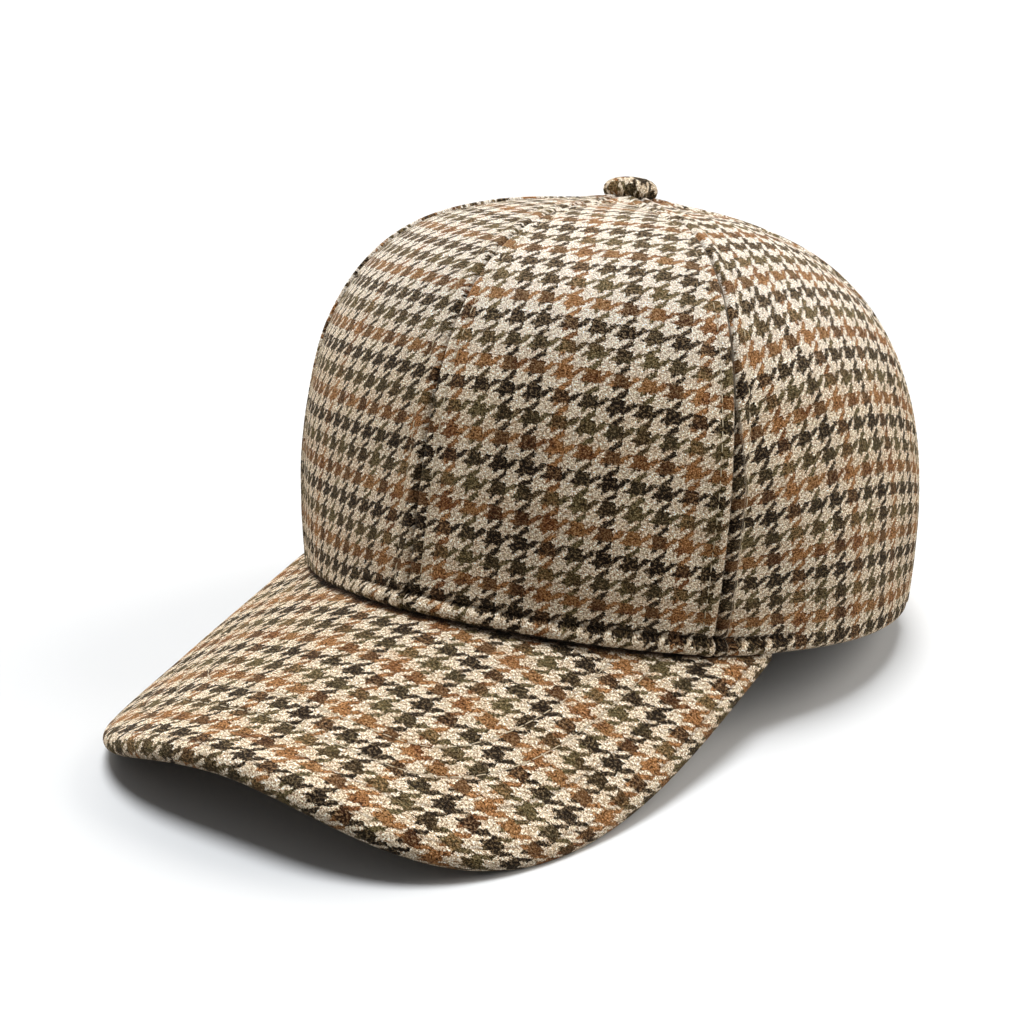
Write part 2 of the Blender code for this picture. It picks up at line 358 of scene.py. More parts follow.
CHARCOAL = (0.017, 0.0125, 0.0085, 1.0)
RUST = (0.30, 0.145, 0.052, 1.0)
OLIVE = (0.098, 0.082, 0.036, 1.0)
CREAM = (0.82, 0.71, 0.535, 1.0)
TAN = (0.66, 0.49, 0.31, 1.0)
DARK_FLECK = (0.013, 0.009, 0.006, 1.0)
LIGHT_FLECK = (0.98, 0.93, 0.83, 1.0)
TAN_FLECK = (0.52, 0.37, 0.21, 1.0)
BROWN_FLECK = (0.36, 0.205, 0.10, 1.0)
# the colour of the sheen painted on the top of the crown
PAINTED_SHEEN_COLOUR = (0.95, 0.90, 0.83, 1.0)
SHEEN = (1.0, 0.88, 0.72, 1.0)
# these tint a colour that is there
WHITE = (1.0, 1.0, 1.0, 1.0)
DYED_PALE = (1.2, 1.16, 1.18, 1.0)
DYED_DEEP = (0.68, 0.54, 0.52, 1.0)
FADED = (1.6, 1.6, 1.6, 1.0)
# HOLLOW_SHADE tints the shade painted between the thread loops
HOLLOW_SHADE = (0.53, 0.455, 0.37, 1.0)
# CREASE_SHADE tints the shade painted in creases, along seams, under the roll and by stitches
CREASE_SHADE = (0.09, 0.06, 0.045, 1.0)
SPECK_SHADE = (0.60, 0.53, 0.46, 1.0)
SPECK_LIGHT = (1.34, 1.39, 1.45, 1.0)
# how much of the sheen painted at the top shows on the pale yarns and on the dark ones
PAINTED_SHEEN_ON_PALE = (0.42, 0.42, 0.42, 1.0)
PAINTED_SHEEN_ON_DARK = (0.01, 0.01, 0.01, 1.0)

YARNS = {"K": CHARCOAL, "R": RUST, "G": OLIVE}
REGULAR_ORDER = "KRG"
DARK_SHARE = 0.54                # of each check
RIBS_PER_CHECK = 2.0             # slanting ribs of the twill
THREADS_PER_CHECK = 8.0
ELSEWHERE = (31.7, 11.3, 0.0)    # in checks, to where the noise is another
CHARCOAL_BELOW = 0.04            # a yarn darker than this is charcoal
RUST_ABOVE = 0.12                # and one of the dark yarns lighter than this is rust
CHARCOAL_LEAD = 0.4              # how much more a charcoal warp shows where it crosses
MINGLED = 0.4                    # how much any warp shows there at most, besides
TAN_SHARE = 0.4                  # of the pale yarns in a rust row
# how much the sheen painted at the top brings out pale flecks
PAINTED_SHEEN_LIGHTENS = 0.045
LOOP_RELIEF = 0.6
FIBRE_RELIEF = 1.4
WANDERS = (                      # noise's scale, detail and roughness, and reach in checks
    (3.0, 1.0, 0.5, 0.16),
    (10.0, 3.0, 0.7, 0.34),
)


def wander(graph, vector):
    """How far the edges of the hairy yarns stray."""
    strayed = []
    for scale, detail, roughness, reach in WANDERS:
        noise = graph.noise(vector, scale, detail, roughness)
        strayed.append(graph.math("MULTIPLY", graph.math("SUBTRACT", noise, 0.5), reach))
    return graph.math("ADD", *strayed)


def yarn_colour(graph, place, order):
    """A stripe's colour from its place in checks, in the order given, over and over."""
    count = float(len(order))
    ramp = graph.node("ShaderNodeValToRGB")
    ramp.color_ramp.interpolation = "CONSTANT"
    stops = ramp.color_ramp.elements
    stops[0].color = YARNS[order[0]]
    stops.remove(stops[1])
    for stripe, yarn in enumerate(order[1:], 1):
        stops.new(stripe / len(order)).color = YARNS[yarn]
    turn = graph.math("FLOORED_MODULO", graph.math("FLOOR", place), count)
    graph.plug(ramp.inputs[0], graph.math("DIVIDE", graph.math("ADD", turn, 0.5), count))
    return ramp.outputs[0]


def woven(graph, places, warp_on_top, weave, elsewhere, order):
    """The check's colour, and whether the yarn that lies on top is one of the dark ones."""
    x, y = places
    warp_dark, weft_dark = (graph.math("LESS_THAN", graph.math("FRACT", place), DARK_SHARE)
                            for place in places)
    warp = yarn_colour(graph, x, order)
    weft = yarn_colour(graph, y, REGULAR_ORDER)
    some_dark = graph.mix(warp_on_top, weft, warp)
    top_dark = graph.mix(warp_on_top, weft_dark, warp_dark)
    # where two dark yarns cross they mingle, and charcoal shows most
    warp_charcoal = graph.math("LESS_THAN", warp, CHARCOAL_BELOW)
    twisted = graph.noise(weave, scale=9.0, detail=2.0, roughness=0.6)
    mingled = graph.range(twisted, 0.3, 0.7, to_high=MINGLED)
    warp_share = graph.math("MULTIPLY_ADD", warp_charcoal, CHARCOAL_LEAD, mingled)
    both_dark = graph.math("MULTIPLY", warp_dark, weft_dark)
    dark = graph.mix(both_dark, some_dark, graph.mix(warp_share, weft, warp))
    # the dye took unevenly along the yarns
    dye = graph.range(graph.noise(elsewhere, scale=0.8, detail=1.0, roughness=0.5), 0.48, 0.62)
    dark = graph.times(dark, graph.mix(dye, DYED_PALE, DYED_DEEP))
    rust_row = graph.math("MULTIPLY", graph.math("GREATER_THAN", weft, RUST_ABOVE), TAN_SHARE)
    return graph.mix(top_dark, graph.mix(rust_row, CREAM, TAN), dark), top_dark


def thread_loops(graph, places, rib, warp_on_top):
    """The loops of thread that make up a rib, from 0 in between them to 1 on top."""
    def sine(place, turns):
        return graph.math("ABSOLUTE", graph.math("SINE", graph.math("MULTIPLY", place, turns)))

    over_x, over_y = (sine(place, THREADS_PER_CHECK * math.pi) for place in places)
    along = graph.mix(warp_on_top, over_y, over_x)
    return graph.math("MULTIPLY", sine(rib, 2 * math.pi), along)


def flecked(graph, colour, top_dark, painted_top_sheen, weave):
    """Each yarn is spun from fibres of several shades; towards the top more of the pale ones
    show, as a painted sheen.
    """
    spun = graph.noise(weave, scale=9.0, detail=2.0, roughness=0.75)
    fleck = graph.math("MULTIPLY_ADD", painted_top_sheen, PAINTED_SHEEN_LIGHTENS, spun)
    light = graph.range(fleck, 0.52, 0.60, to_high=0.82)
    deep = graph.range(fleck, 0.465, 0.385, to_high=0.85)
    tan_share = graph.math("MULTIPLY_ADD", painted_top_sheen, 0.2, 0.38)
    tan = graph.mix(tan_share, graph.times(colour, FADED), TAN_FLECK)
    colour = graph.mix(light, colour, graph.mix(top_dark, LIGHT_FLECK, tan))
    return graph.mix(deep, colour, graph.mix(top_dark, BROWN_FLECK, DARK_FLECK))


def painted_stitch_shade(graph):
    """Shade painted beside the visor's rows of stitches, where its cloth is drawn in."""
    beyond_first = graph.math("SUBTRACT", graph.attribute("from_edge"), VISOR_STITCH_INSET)
    row = graph.math("DIVIDE", beyond_first, VISOR_STITCH_GAP)
    beside = graph.math("ABSOLUTE", graph.math("SUBTRACT", row, graph.math("ROUND", row)))
    return graph.range(beside, 0.025, 0.06, to_low=0.4, to_high=0.0)


def tweed_material(name, order):
    graph = Graph(name)
    weave = graph.node("ShaderNodeUVMap", uv_map="weave").outputs[0]
    parts = graph.node("ShaderNodeSeparateXYZ")
    graph.plug(parts.inputs[0], weave)
    moved = graph.node("ShaderNodeVectorMath", operation="ADD")
    graph.plug(moved.inputs[0], weave)
    graph.plug(moved.inputs[1], ELSEWHERE)
    elsewhere = moved.outputs[0]
    places = (graph.math("ADD", parts.outputs[0], wander(graph, weave)),
              graph.math("ADD", parts.outputs[1], wander(graph, elsewhere)))
    # two over, two under, stepping on by one each row: slanting ribs
    slant = graph.math("SUBTRACT", *places)
    rib = graph.math("FRACT", graph.math("MULTIPLY", slant, RIBS_PER_CHECK))
    warp_on_top = graph.math("LESS_THAN", rib, 0.5)
    colour, top_dark = woven(graph, places, warp_on_top, weave, elsewhere, order)
    loop = thread_loops(graph, places, rib, warp_on_top)
    painted_top_sheen = graph.attribute("nap")
    colour = flecked(graph, colour, top_dark, painted_top_sheen, weave)
    # painted shade between the thread loops, darker where the loops sink
    lit = graph.range(loop, 0.0, 0.7)
    colour = graph.times(colour, graph.mix(lit, HOLLOW_SHADE, WHITE))
    # painted sheen: the cloth is painted paler towards the top of the crown
    pale_nap = graph.math("MULTIPLY", painted_top_sheen, graph.mix(top_dark, PAINTED_SHEEN_ON_PALE, PAINTED_SHEEN_ON_DARK))
    colour = graph.mix(pale_nap, colour, PAINTED_SHEEN_COLOUR)
    # painted shade: darker in creases, along seams, under the roll and beside the visor's
    # stitches
    painted_crease_shade = graph.math("MAXIMUM", graph.attribute("hollow"), painted_stitch_shade(graph))
    colour = graph.mix(painted_crease_shade, colour, graph.times(colour, CREASE_SHADE))
    # specks finer than the threads, and yarns that are thicker and brighter in places
    specks = graph.noise(weave, scale=18.0, detail=0.0, roughness=0.5)
    slub = graph.noise(elsewhere, scale=5.0, detail=2.0, roughness=0.6)
    scaled = graph.node("ShaderNodeVectorMath", operation="SCALE")
    grain = graph.mix(graph.range(specks, 0.25, 0.75), SPECK_SHADE, SPECK_LIGHT)
    graph.plug(scaled.inputs[0], graph.times(colour, grain))
    brighter = graph.range(slub, 0.3, 0.7, to_low=1.02, to_high=1.38)
    graph.plug(scaled.inputs["Scale"], brighter)
    graph.plug(graph.shader.inputs["Base Color"], scaled.outputs[0])
    # relief of the loops and of the fibres on them
    fibres = graph.noise(weave, scale=17.0, detail=3.0, roughness=0.75)
    height = graph.math("ADD", graph.math("MULTIPLY", loop, LOOP_RELIEF),
                        graph.math("MULTIPLY", fibres, FIBRE_RELIEF))
    graph.bump(height, strength=0.9, distance=0.42 * MM)
    graph.shader.inputs["Roughness"].default_value = 0.92
    graph.shader.inputs["Specular IOR Level"].default_value = 0.05
    graph.shader.inputs["Sheen Weight"].default_value = 0.14
    graph.shader.inputs["Sheen Roughness"].default_value = 0.12
    graph.shader.inputs["Sheen Tint"].default_value = SHEEN
    return graph.material


# ==== Crown panels ====
# One row per panel, in degrees and millimetres. "stripe" and "row" say where a charcoal warp
# stripe and a charcoal weft stripe cross its middle line, "lean" and "curl" how the warp
# leans and bends, "slope" and "sag" how the weft climbs and sinks to the sides, "check" the
# size of a check, and "order" the warp's colours. "seams" says how deep the first and the
# last seam are drawn in and how strong the shade painted along them is, "welts" how far
# their turned-in edges pad the cloth out beside them, and "wide_seam_shade" how much wider
# the first one's painted shade is low down. "seam_stripe" is the width of a dark stripe
# along the first seam, "stripe_taper" how far it narrows.
PLAIN_WELT = 0.55
PLAIN_PANEL = {
    "lean": 0.0, "curl": 0.0, "slope": 0.0, "sag": 0.0030, "check": 6.9, "order": REGULAR_ORDER,
    "seams": (1.0, 1.0), "welts": (PLAIN_WELT, PLAIN_WELT), "wide_seam_shade": 0.0,
    "seam_stripe": 0.0, "stripe_taper": 0.0,
}
PANELS = tuple(PLAIN_PANEL | row for row in (
    {"name": "panel_front_left", "first": 0, "last": 52, "stripe": 9.3, "row": 4.2,
     "slope": 0.02, "sag": 0.0010, "check": 6.75, "order": "KGKRGKRGKKRG",
     "seams": (0.45, 0.45)},
    {"name": "panel_side_left", "first": 52, "last": 116, "stripe": 0.3, "row": 3.4,
     "lean": 0.17, "curl": 0.0012, "sag": 0.0055, "check": 7.4, "seams": (0.45, 1.0),
     "wide_seam_shade": 0.35, "seam_stripe": 3.2, "stripe_taper": 1.0},
    {"name": "panel_back_left", "first": 116, "last": 180, "stripe": 3.0, "row": 3.0},
    {"name": "panel_back_right", "first": -180, "last": -116, "stripe": -6.0, "row": 3.0},
    {"name": "panel_side_right", "first": -116, "last": -46, "stripe": 2.0, "row": 3.4,
     "lean": -0.1, "sag": 0.0045, "welts": (PLAIN_WELT, 1.3)},
    {"name": "panel_front_right", "first": -46, "last": 0, "stripe": 17.0, "row": 7.0,
     "lean": -0.12, "slope": 0.077, "sag": 0.0, "check": 5.0, "order": "KGKRKGKKGKRKGK",
     "seams": (1.0, 0.45), "seam_stripe": 3.0},
))
ROW_REPEAT = 18.9                # millimetres for three rows of checks at the hem
ROW_TIGHTENING = 0.0069          # they close up a little towards the top
CUT_HEIGHT = 55 * MM             # where "stripe" is measured
SAG_FADE = (-10 * MM, 90 * MM)   # higher up, the rows sink more to the sides
TAPER_FADE = (40 * MM, 30 * MM)  # where the stripe along a seam narrows
NOT_QUITE_ALL = 1.001            # so that it never narrows to nothing
PANEL_COLUMNS = 88               # an even number, so that one lies on the middle line
PANEL_ROWS = 140
COLUMN_CROWDING = 0.72           # towards the seams
ROW_CROWDING = 0.62              # towards the hem

SEAM_DEPTH = 1.5 * MM
SEAM_ROUND = 1.3 * MM
TOP_GATHER = 0.8 * MM            # where the seams come together under the button
TOP_GATHER_FADE = (0.0, 14 * MM)
TOPSTITCH_AWAY = 3.8 * MM        # from its seam
TOPSTITCH_DEPTH = 0.25 * MM
TOPSTITCH_GROOVE = 0.8 * MM
TOPSTITCH_CLEAR = 0.5 * MM       # from the panel's middle, where the two rows end
WELT_EDGE = (0.6 * TOPSTITCH_AWAY, 2.4 * MM)
WELT_START = (45 * MM, 25 * MM)  # above the hem, where a seam's own padding begins
WELT_END = (4 * MM, 32 * MM)     # below the top
STITCH_PITCH = 3.0 * MM
STITCH_PULL = 0.4                # how much deeper the groove is at a stitch
STITCH_LENGTH = 2.3 * MM
STITCH_RADIUS = 0.14 * MM
CLOTH_WAVES = ((0.35 * MM, 42 * MM, 5), (0.12 * MM, 13 * MM, 6))     # height, size, seed
WAVES_FROM_SEAM = (0.0, 6 * MM)
WAVES_FROM_HEM = (5 * MM, 10 * MM)

ROLL_HEIGHT = 4.9 * MM           # the puffed edge above the visor
ROLL_BULGE = 1.7 * MM
ROLL_FOOT = 0.12                 # of its height, where it starts to bulge
ROLL_ROUNDNESS = 0.7
ROLL_TUCK = 1.2 * MM
ROLL_TUCK_FADE = (0.0, 0.25)     # of its height
ROLL_CREASE = 1.0 * MM
ROLL_CREASE_LIFT = 0.2 * MM
ROLL_CREASE_WIDTH = 0.7 * MM
ROLL_START = (-16, 10)           # degrees
ROLL_END = (62, 8)
ROLL_ROW_LIFT = 1.6 * MM         # the roll takes up some cloth
ROLL_ROW_FADE = (5 * MM, 14 * MM)
PUFF_DIP = 0.42                  # between the roll's puffs, at the dark stripes
PUFF_DIP_WIDTH = 0.16            # of a check
HEM_ROUND = 1.6 * MM
HEM_TUCK = 1.3 * MM
HEM_THICKNESS = 0.8 * CLOTH
RIM_UV = 0.3                     # how much of a check shows on the cut edges

# shade painted on the crown's cloth: along the seams, under the roll, in the crease above it and
# between its puffs
SEAM_SHADE_HALF_WIDTH = 0.45                 # millimetres, half the width of the shade painted along a seam
SEAM_SHADE_LOW = (40 * MM, 25 * MM)               # below this the first one can be wider
ROLL_SHADE = 0.35
ROLL_SHADE_WIDTH = 0.8 * MM
VISOR_SHADE_END = (VISOR_CORNER_DIRECTION + 2, 4)
UNDER_ROLL = (0.6 * MM, 0.8 * MM)                # above the visor
UNDER_ROLL_TUCK = 0.3 * MM       # lower by this under the roll
PAINTED_SHEEN_FADE = (52 * MM, 38 * MM)    # higher up, the cloth is painted paler: a painted sheen


def crowded(count, strength, waves):
    """Shares from 0 to 1, crowded towards the start, or with 2 waves towards both ends."""
    t = np.linspace(0.0, 1.0, count + 1)
    return t - strength * np.sin(waves * math.pi * t) / (waves * math.pi)


class Panel:
    """One crown panel as a grid: first axis from seam to seam, second from hem to top."""

    def __init__(self, row):
        self.row = row
        across = crowded(PANEL_COLUMNS, COLUMN_CROWDING, waves=2)
        self.up = crowded(PANEL_ROWS, ROW_CROWDING, waves=1)
        theta = np.radians(row["first"] + (row["last"] - row["first"]) * across)
        self.base, lengths = crown_points(theta, self.up)
        self.normal = grid_normals(self.base)
        middle = PANEL_COLUMNS // 2
        travelled = travelled_along(self.base, 0)
        self.from_first = travelled
        self.from_last = travelled[-1] - travelled
        self.from_middle = travelled - travelled[middle]
        self.from_hem = self.up[None, :] * lengths[:, None]
        self.from_top = (1 - self.up[None, :]) * lengths[:, None]
        self.middle_height = self.up[None, :] * lengths[middle] + 0 * travelled
        self.direction = np.degrees(theta)[:, None]
        self.rolled = fade(self.direction, *ROLL_START) * (1 - fade(self.direction, *ROLL_END))
        rise = np.clip(self.from_hem / ROLL_HEIGHT, 0.0, 1.0)
        bulge = np.sin(math.pi * np.clip((rise - ROLL_FOOT) / (1 - ROLL_FOOT), 0.0, 1.0))
        self.rounded = bulge ** ROLL_ROUNDNESS
        self.tucked = 1 - fade(rise, *ROLL_TUCK_FADE)
        stripe = self.weave()[..., 0] - DARK_SHARE / 2
        self.puffs = 1 - PUFF_DIP * dip(stripe - np.round(stripe), PUFF_DIP_WIDTH)
        self.above_roll = self.from_hem - ROLL_HEIGHT - ROLL_CREASE_LIFT
        self.face = self.base + self.normal * self.relief(across)[..., None]

    def relief(self, across):
        """How far the cloth stands off the plain dome."""
        puff = PANEL_PUFF * np.sin(math.pi * across)[:, None] * np.sin(math.pi * self.up)[None]
        seam = np.minimum(self.from_first, self.from_last)
        waves = sum(height * soft_noise(self.base, size, seed)
                    for height, size, seed in CLOTH_WAVES)
        away = fade(seam, *WAVES_FROM_SEAM) * fade(self.from_hem, *WAVES_FROM_HEM)
        gathered = TOP_GATHER * (1 - fade(self.from_top, *TOP_GATHER_FADE))
        return puff + self.seam_relief(seam) + self.hem_relief() + gathered + waves * away

    def seam_relief(self, seam):
        """The grooves at the seams, the padding beside them and the topstitched line."""
        upper = fade(self.from_hem, *WELT_START) * fade(self.from_top, *WELT_END)
        pulls = 1 - STITCH_PULL + STITCH_PULL * np.cos(2 * math.pi * self.from_hem / STITCH_PITCH)
        relief = -TOPSTITCH_DEPTH * dip(seam - TOPSTITCH_AWAY, TOPSTITCH_GROOVE) * pulls
        sides = (self.from_first, self.from_last)
        for away, deep, high in zip(sides, self.row["seams"], self.row["welts"]):
            high = PLAIN_WELT + (high - PLAIN_WELT) * upper
            padded = smooth(away / SEAM_ROUND) * (1 - fade(away, *WELT_EDGE))
            groove = np.maximum(1 - away / SEAM_ROUND, 0.0) ** 2
            relief += high * MM * padded - SEAM_DEPTH * deep * groove
        return relief

    def hem_relief(self):
        """The roll above the visor, and the plain turned-in hem elsewhere."""
        roll = ROLL_BULGE * self.rounded * self.puffs - ROLL_TUCK * self.tucked
        crease = -ROLL_CREASE * dip(self.above_roll, ROLL_CREASE_WIDTH)
        plain_hem = -HEM_TUCK * np.maximum(1 - self.from_hem / HEM_ROUND, 0.0) ** 2
        return self.rolled * (roll + crease) + (1 - self.rolled) * plain_hem

    def hollow(self):
        """Shade painted on the cloth, from 0 to 1: under the roll, along the seams,
        in the crease above the roll and between its puffs.
        """
        above_visor = fade(self.from_hem + UNDER_ROLL_TUCK * self.rolled, *UNDER_ROLL)
        on_visor = 1 - fade(np.abs(self.direction), *VISOR_SHADE_END)
        under_roll = on_visor * (1 - above_visor)
        first, last = self.row["seams"]
        low = 1 - fade(self.from_hem, *SEAM_SHADE_LOW)
        wide = (SEAM_SHADE_HALF_WIDTH + self.row["wide_seam_shade"] * low) * MM
        painted_seam_shade = (first**2 * dip(self.from_first, wide)
                   + last**2 * dip(self.from_last, SEAM_SHADE_HALF_WIDTH * MM))
        painted_crease_shade = ROLL_SHADE * self.rolled * dip(self.above_roll, ROLL_SHADE_WIDTH)
        between_puffs = ROLL_SHADE * self.rolled * (1 - self.puffs) * self.rounded
        return np.clip(np.maximum(under_roll, painted_seam_shade) + painted_crease_shade + between_puffs, 0.0, 1.0)

    def weave(self):
        """UV in checks: charcoal, rust and olive stripes in turn, to the right and upwards."""
        cut = self.row
        side = self.from_middle
        height = self.middle_height
        above = height - CUT_HEIGHT
        drift = -cut["lean"] * above - cut["curl"] / MM * above * np.abs(above)
        sag = cut["sag"] / MM * side**2 * fade(height, *SAG_FADE)
        taken_up = 1 - fade(self.from_hem, *ROLL_ROW_FADE)
        height = height - ROLL_ROW_LIFT * self.rolled * taken_up
        u = (side - cut["stripe"] * MM - drift) / (cut["check"] * MM)
        repeats = (height + cut["slope"] * side + sag - cut["row"] * MM) / (ROW_REPEAT * MM)
        v = 3 * (repeats + ROW_TIGHTENING * repeats * np.abs(repeats))
        if cut["seam_stripe"]:
            narrowed = cut["stripe_taper"] * fade(self.from_hem, *TAPER_FADE)
            on_stripe = self.from_first / (cut["seam_stripe"] * MM * (NOT_QUITE_ALL - narrowed))
            u = np.where(on_stripe < 1, DARK_SHARE * (on_stripe - 0.5), u)
        return np.stack([u, v], axis=-1) + DARK_SHARE / 2

    def stitching(self, name, material):
        """A row of topstitches beside each of the panel's two seams."""
        rows = []
        first_row = np.searchsorted(self.from_hem.mean(axis=0), ROLL_HEIGHT + MM)
        for travelled, flip in ((self.from_first, 1), (self.from_last, -1)):
            lines = []
            for j in range(first_row, PANEL_ROWS + 1):
                reach = travelled[::flip, j]
                if reach[PANEL_COLUMNS // 2] < TOPSTITCH_AWAY + TOPSTITCH_CLEAR:
                    break
                lines.append([np.interp(TOPSTITCH_AWAY, reach, values[::flip, j])
                              for field in (self.face, self.normal)
                              for values in np.moveaxis(field, -1, 0)])
            line = np.array(lines)
            rows.append((line[:, :3], line[:, 3:]))
        return stitching_mesh(name, rows, material)

    def mesh(self, material):
        even = np.linspace(0, 1, PANEL_COLUMNS + 1)
        puff = PANEL_PUFF * np.sin(math.pi * even)[:, None] * np.sin(math.pi * self.up)[None]
        inner = self.base - self.normal * CLOTH + self.normal * puff[..., None]
        inner[:, 0] = self.face[:, 0] - self.normal[:, 0] * HEM_THICKNESS
        points = np.concatenate([self.face.reshape(-1, 3), inner.reshape(-1, 3)])
        vertices = laid_down(points)
        vertices[:, 2] = np.maximum(vertices[:, 2], 0.0)
        uv = self.weave()
        front = numbered(self.base)
        back = front + front.size
        up, out = (0, RIM_UV), (RIM_UV, 0)
        patches = [patch(front, uv), patch(back[::-1], uv[::-1])]
        rims = (                 # hem, top, first seam and last seam
            ((back[:, 0], front[:, 0]), (uv[:, 0] - up, uv[:, 0]), 1),
            ((front[:, -1], back[:, -1]), (uv[:, -1], uv[:, -1] + up), 1),
            ((back[0], front[0]), (uv[0] - out, uv[0]), 0),
            ((front[-1], back[-1]), (uv[-1], uv[-1] + out), 0),
        )
        for edges, edge_uv, axis in rims:
            patches.append(patch(np.stack(edges, axis=axis), np.stack(edge_uv, axis=axis)))
        hollow = self.hollow().ravel()
        hollow = np.concatenate([hollow, 0 * hollow])
        # painted sheen, paler towards the top
        nap = fade(np.tile(self.base[..., 2].ravel(), 2), *PAINTED_SHEEN_FADE)
        return make_mesh(self.row["name"] + "_cloth", vertices, patches, material,
                         hollow=hollow, nap=nap)


# ==== Stitching ====
STITCH_SIDES = 6
STITCH_RINGS = (                 # along the stitch: place, width and height in its radii
    (0.0, 0.0, -1.2), (0.06, 0.75, -0.5), (0.22, 1.0, 0.45), (0.5, 1.05, 0.7),
    (0.78, 1.0, 0.45), (0.94, 0.75, -0.5), (1.0, 0.0, -1.2),
)
THREAD_DARK = (0.36, 0.27, 0.16, 1.0)
THREAD_LIGHT = (0.78, 0.66, 0.46, 1.0)


def stitch_row(points, normals, length, radius):
    """Stitches end to end along a line lying on the cloth: their vertices and quads."""
    travelled = travelled_along(points, 0)
    count = int(travelled[-1] // STITCH_PITCH)
    starts = np.arange(count) * STITCH_PITCH + (travelled[-1] - count * STITCH_PITCH) / 2
    rings = np.array(STITCH_RINGS)
    place = starts[:, None] + rings[None, :, 0] * length

    def at(values):
        return np.stack([np.interp(place, travelled, column) for column in values.T], axis=-1)

    centre = at(points)
    up = units(at(normals))
    along = units(np.gradient(centre, axis=1))
    side = units(np.cross(up, along))
    turn = np.linspace(0, 2 * math.pi, STITCH_SIDES, endpoint=False)[None, None, :, None]
    lift = (rings[:, 2] * radius)[None, :, None]
    radius = (rings[:, 1] * radius)[None, :, None, None]
    around = np.cos(turn) * side[:, :, None] + np.sin(turn) * up[:, :, None]
    vertices = (centre + up * lift)[:, :, None] + around * radius
    index = numbered(vertices)
    index = np.concatenate([index, index[:, :, :1]], axis=2)
    corners = (index[:, :-1, :-1], index[:, :-1, 1:], index[:, 1:, 1:], index[:, 1:, :-1])
    return vertices.reshape(-1, 3), np.stack(corners, axis=-1).reshape(-1, 4)


def stitching_mesh(name, rows, material, length=STITCH_LENGTH, radius=STITCH_RADIUS):
    vertices = []
    quads = []
    for points, normals in rows:
        row_vertices, row_quads = stitch_row(points, normals, length, radius)
        quads.append(row_quads + sum(len(given) for given in vertices))
        vertices.append(row_vertices)
    vertices = laid_down(np.concatenate(vertices))
    quads = np.concatenate(quads)
    return make_mesh(name, vertices, [(quads, np.zeros(quads.shape + (2,)))], material)


def thread_material():
    graph = Graph("thread")
    place = graph.node("ShaderNodeTexCoord").outputs["Object"]
    twist = graph.noise(place, scale=3000.0, detail=2.0, roughness=0.6)
    graph.plug(graph.shader.inputs["Base Color"], graph.mix(twist, THREAD_DARK, THREAD_LIGHT))
    graph.bump(twist, strength=0.5, distance=0.1 * MM)
    graph.shader.inputs["Roughness"].default_value = 0.6
    return graph.material


# ==== Visor ====
VISOR_COLUMNS = 220
VISOR_ROWS = 64
VISOR_RIM_STEPS = 12
OUTLINE_SAMPLES = 2880
EDGE_FINENESS = 4                # points per column where distances to the edge are measured
VISOR_STRIPE = 4.5               # millimetres from the middle to a charcoal stripe
VISOR_ROW = 8.6                  # millimetres from the crown to a charcoal row
VISOR_CHECK = (7.15, 6.45)
VISOR_ROW_BEND = 0.0019
VISOR_ROW_BEND_PLACE = 20.0
UNDERSIDE_SHIFT = (0.4, 0.7)     # of a check, from the upper side's weave to the lower one's
CLOSING_UV = (0.0, 0.4)          # how much of a check shows on the closing faces
VISOR_STITCH_INSET = 11.0        # millimetres from its edge to the first row of stitches
VISOR_STITCH_GAP = 7.5           # and from row to row
VISOR_STITCH_INSETS = [VISOR_STITCH_INSET + VISOR_STITCH_GAP * row for row in range(3)]
VISOR_STITCH_DEPTH = 0.22 * MM
VISOR_STITCH_GROOVE = 0.8 * MM
VISOR_STITCH_LENGTH = 2.85 * MM
VISOR_STITCH_RADIUS = 0.13 * MM
VISOR_STITCH_CLEAR = 3 * MM      # from the crown
PAST_LAST_STITCH = 3 * MM        # how far past the last row "from_edge" reads on
ONWARD = 0.35                    # a row of stitches ends where it turns tighter than this
VISOR_WAVES = (0.25 * MM, 30 * MM, 7)            # height, size, seed
VISOR_WAVES_FADE = (0.0, 8 * MM)                 # from its edge
VISOR_BEAD = 3.0 * MM            # radius of its rounded edge
BEAD_WIDTH = 15 * MM
ROOT_SHADE_FADE = (-0.2 * MM, 0.8 * MM)          # of the shade painted under the crown
NORMAL_STEP = 0.1 * MM


def evenly(points, count):
    travelled = travelled_along(points, 0)
    wanted = np.linspace(0.0, travelled[-1], count + 1)
    return np.stack([np.interp(wanted, travelled, values) for values in points.T], axis=1)


def visor_outline():
    """Points along the visor's edge in plan, and the directions along and out of it."""
    turn = np.linspace(-math.pi / 2, math.pi / 2, OUTLINE_SAMPLES + 1)
    side = np.sign(turn) * np.abs(np.sin(turn)) ** (2 / VISOR_SIDE_SQUARENESS)
    front = np.abs(np.cos(turn)) ** (2 / VISOR_FRONT_SQUARENESS)
    y = -VISOR_CORNER_FORWARD - VISOR_REACH * front
    edge = evenly(np.stack([VISOR_HALF_WIDTH * side, y], axis=1), VISOR_COLUMNS)
    along = np.gradient(edge, axis=0)
    return edge, along, units(np.stack([along[:, 1], -along[:, 0]], axis=1))


def visor_root():
    corner = math.radians(VISOR_CORNER_DIRECTION)
    theta = np.linspace(-corner, corner, OUTLINE_SAMPLES + 1)
    x, y = plan_point(theta, section_value(theta, "hem_ratio"))
    outward = units(np.stack([x / CROWN_HALF_WIDTH**2, y / CROWN_FRONT_REACH**2], axis=1))
    return evenly(np.stack([x, y], axis=1) - CLOTH * outward, VISOR_COLUMNS)


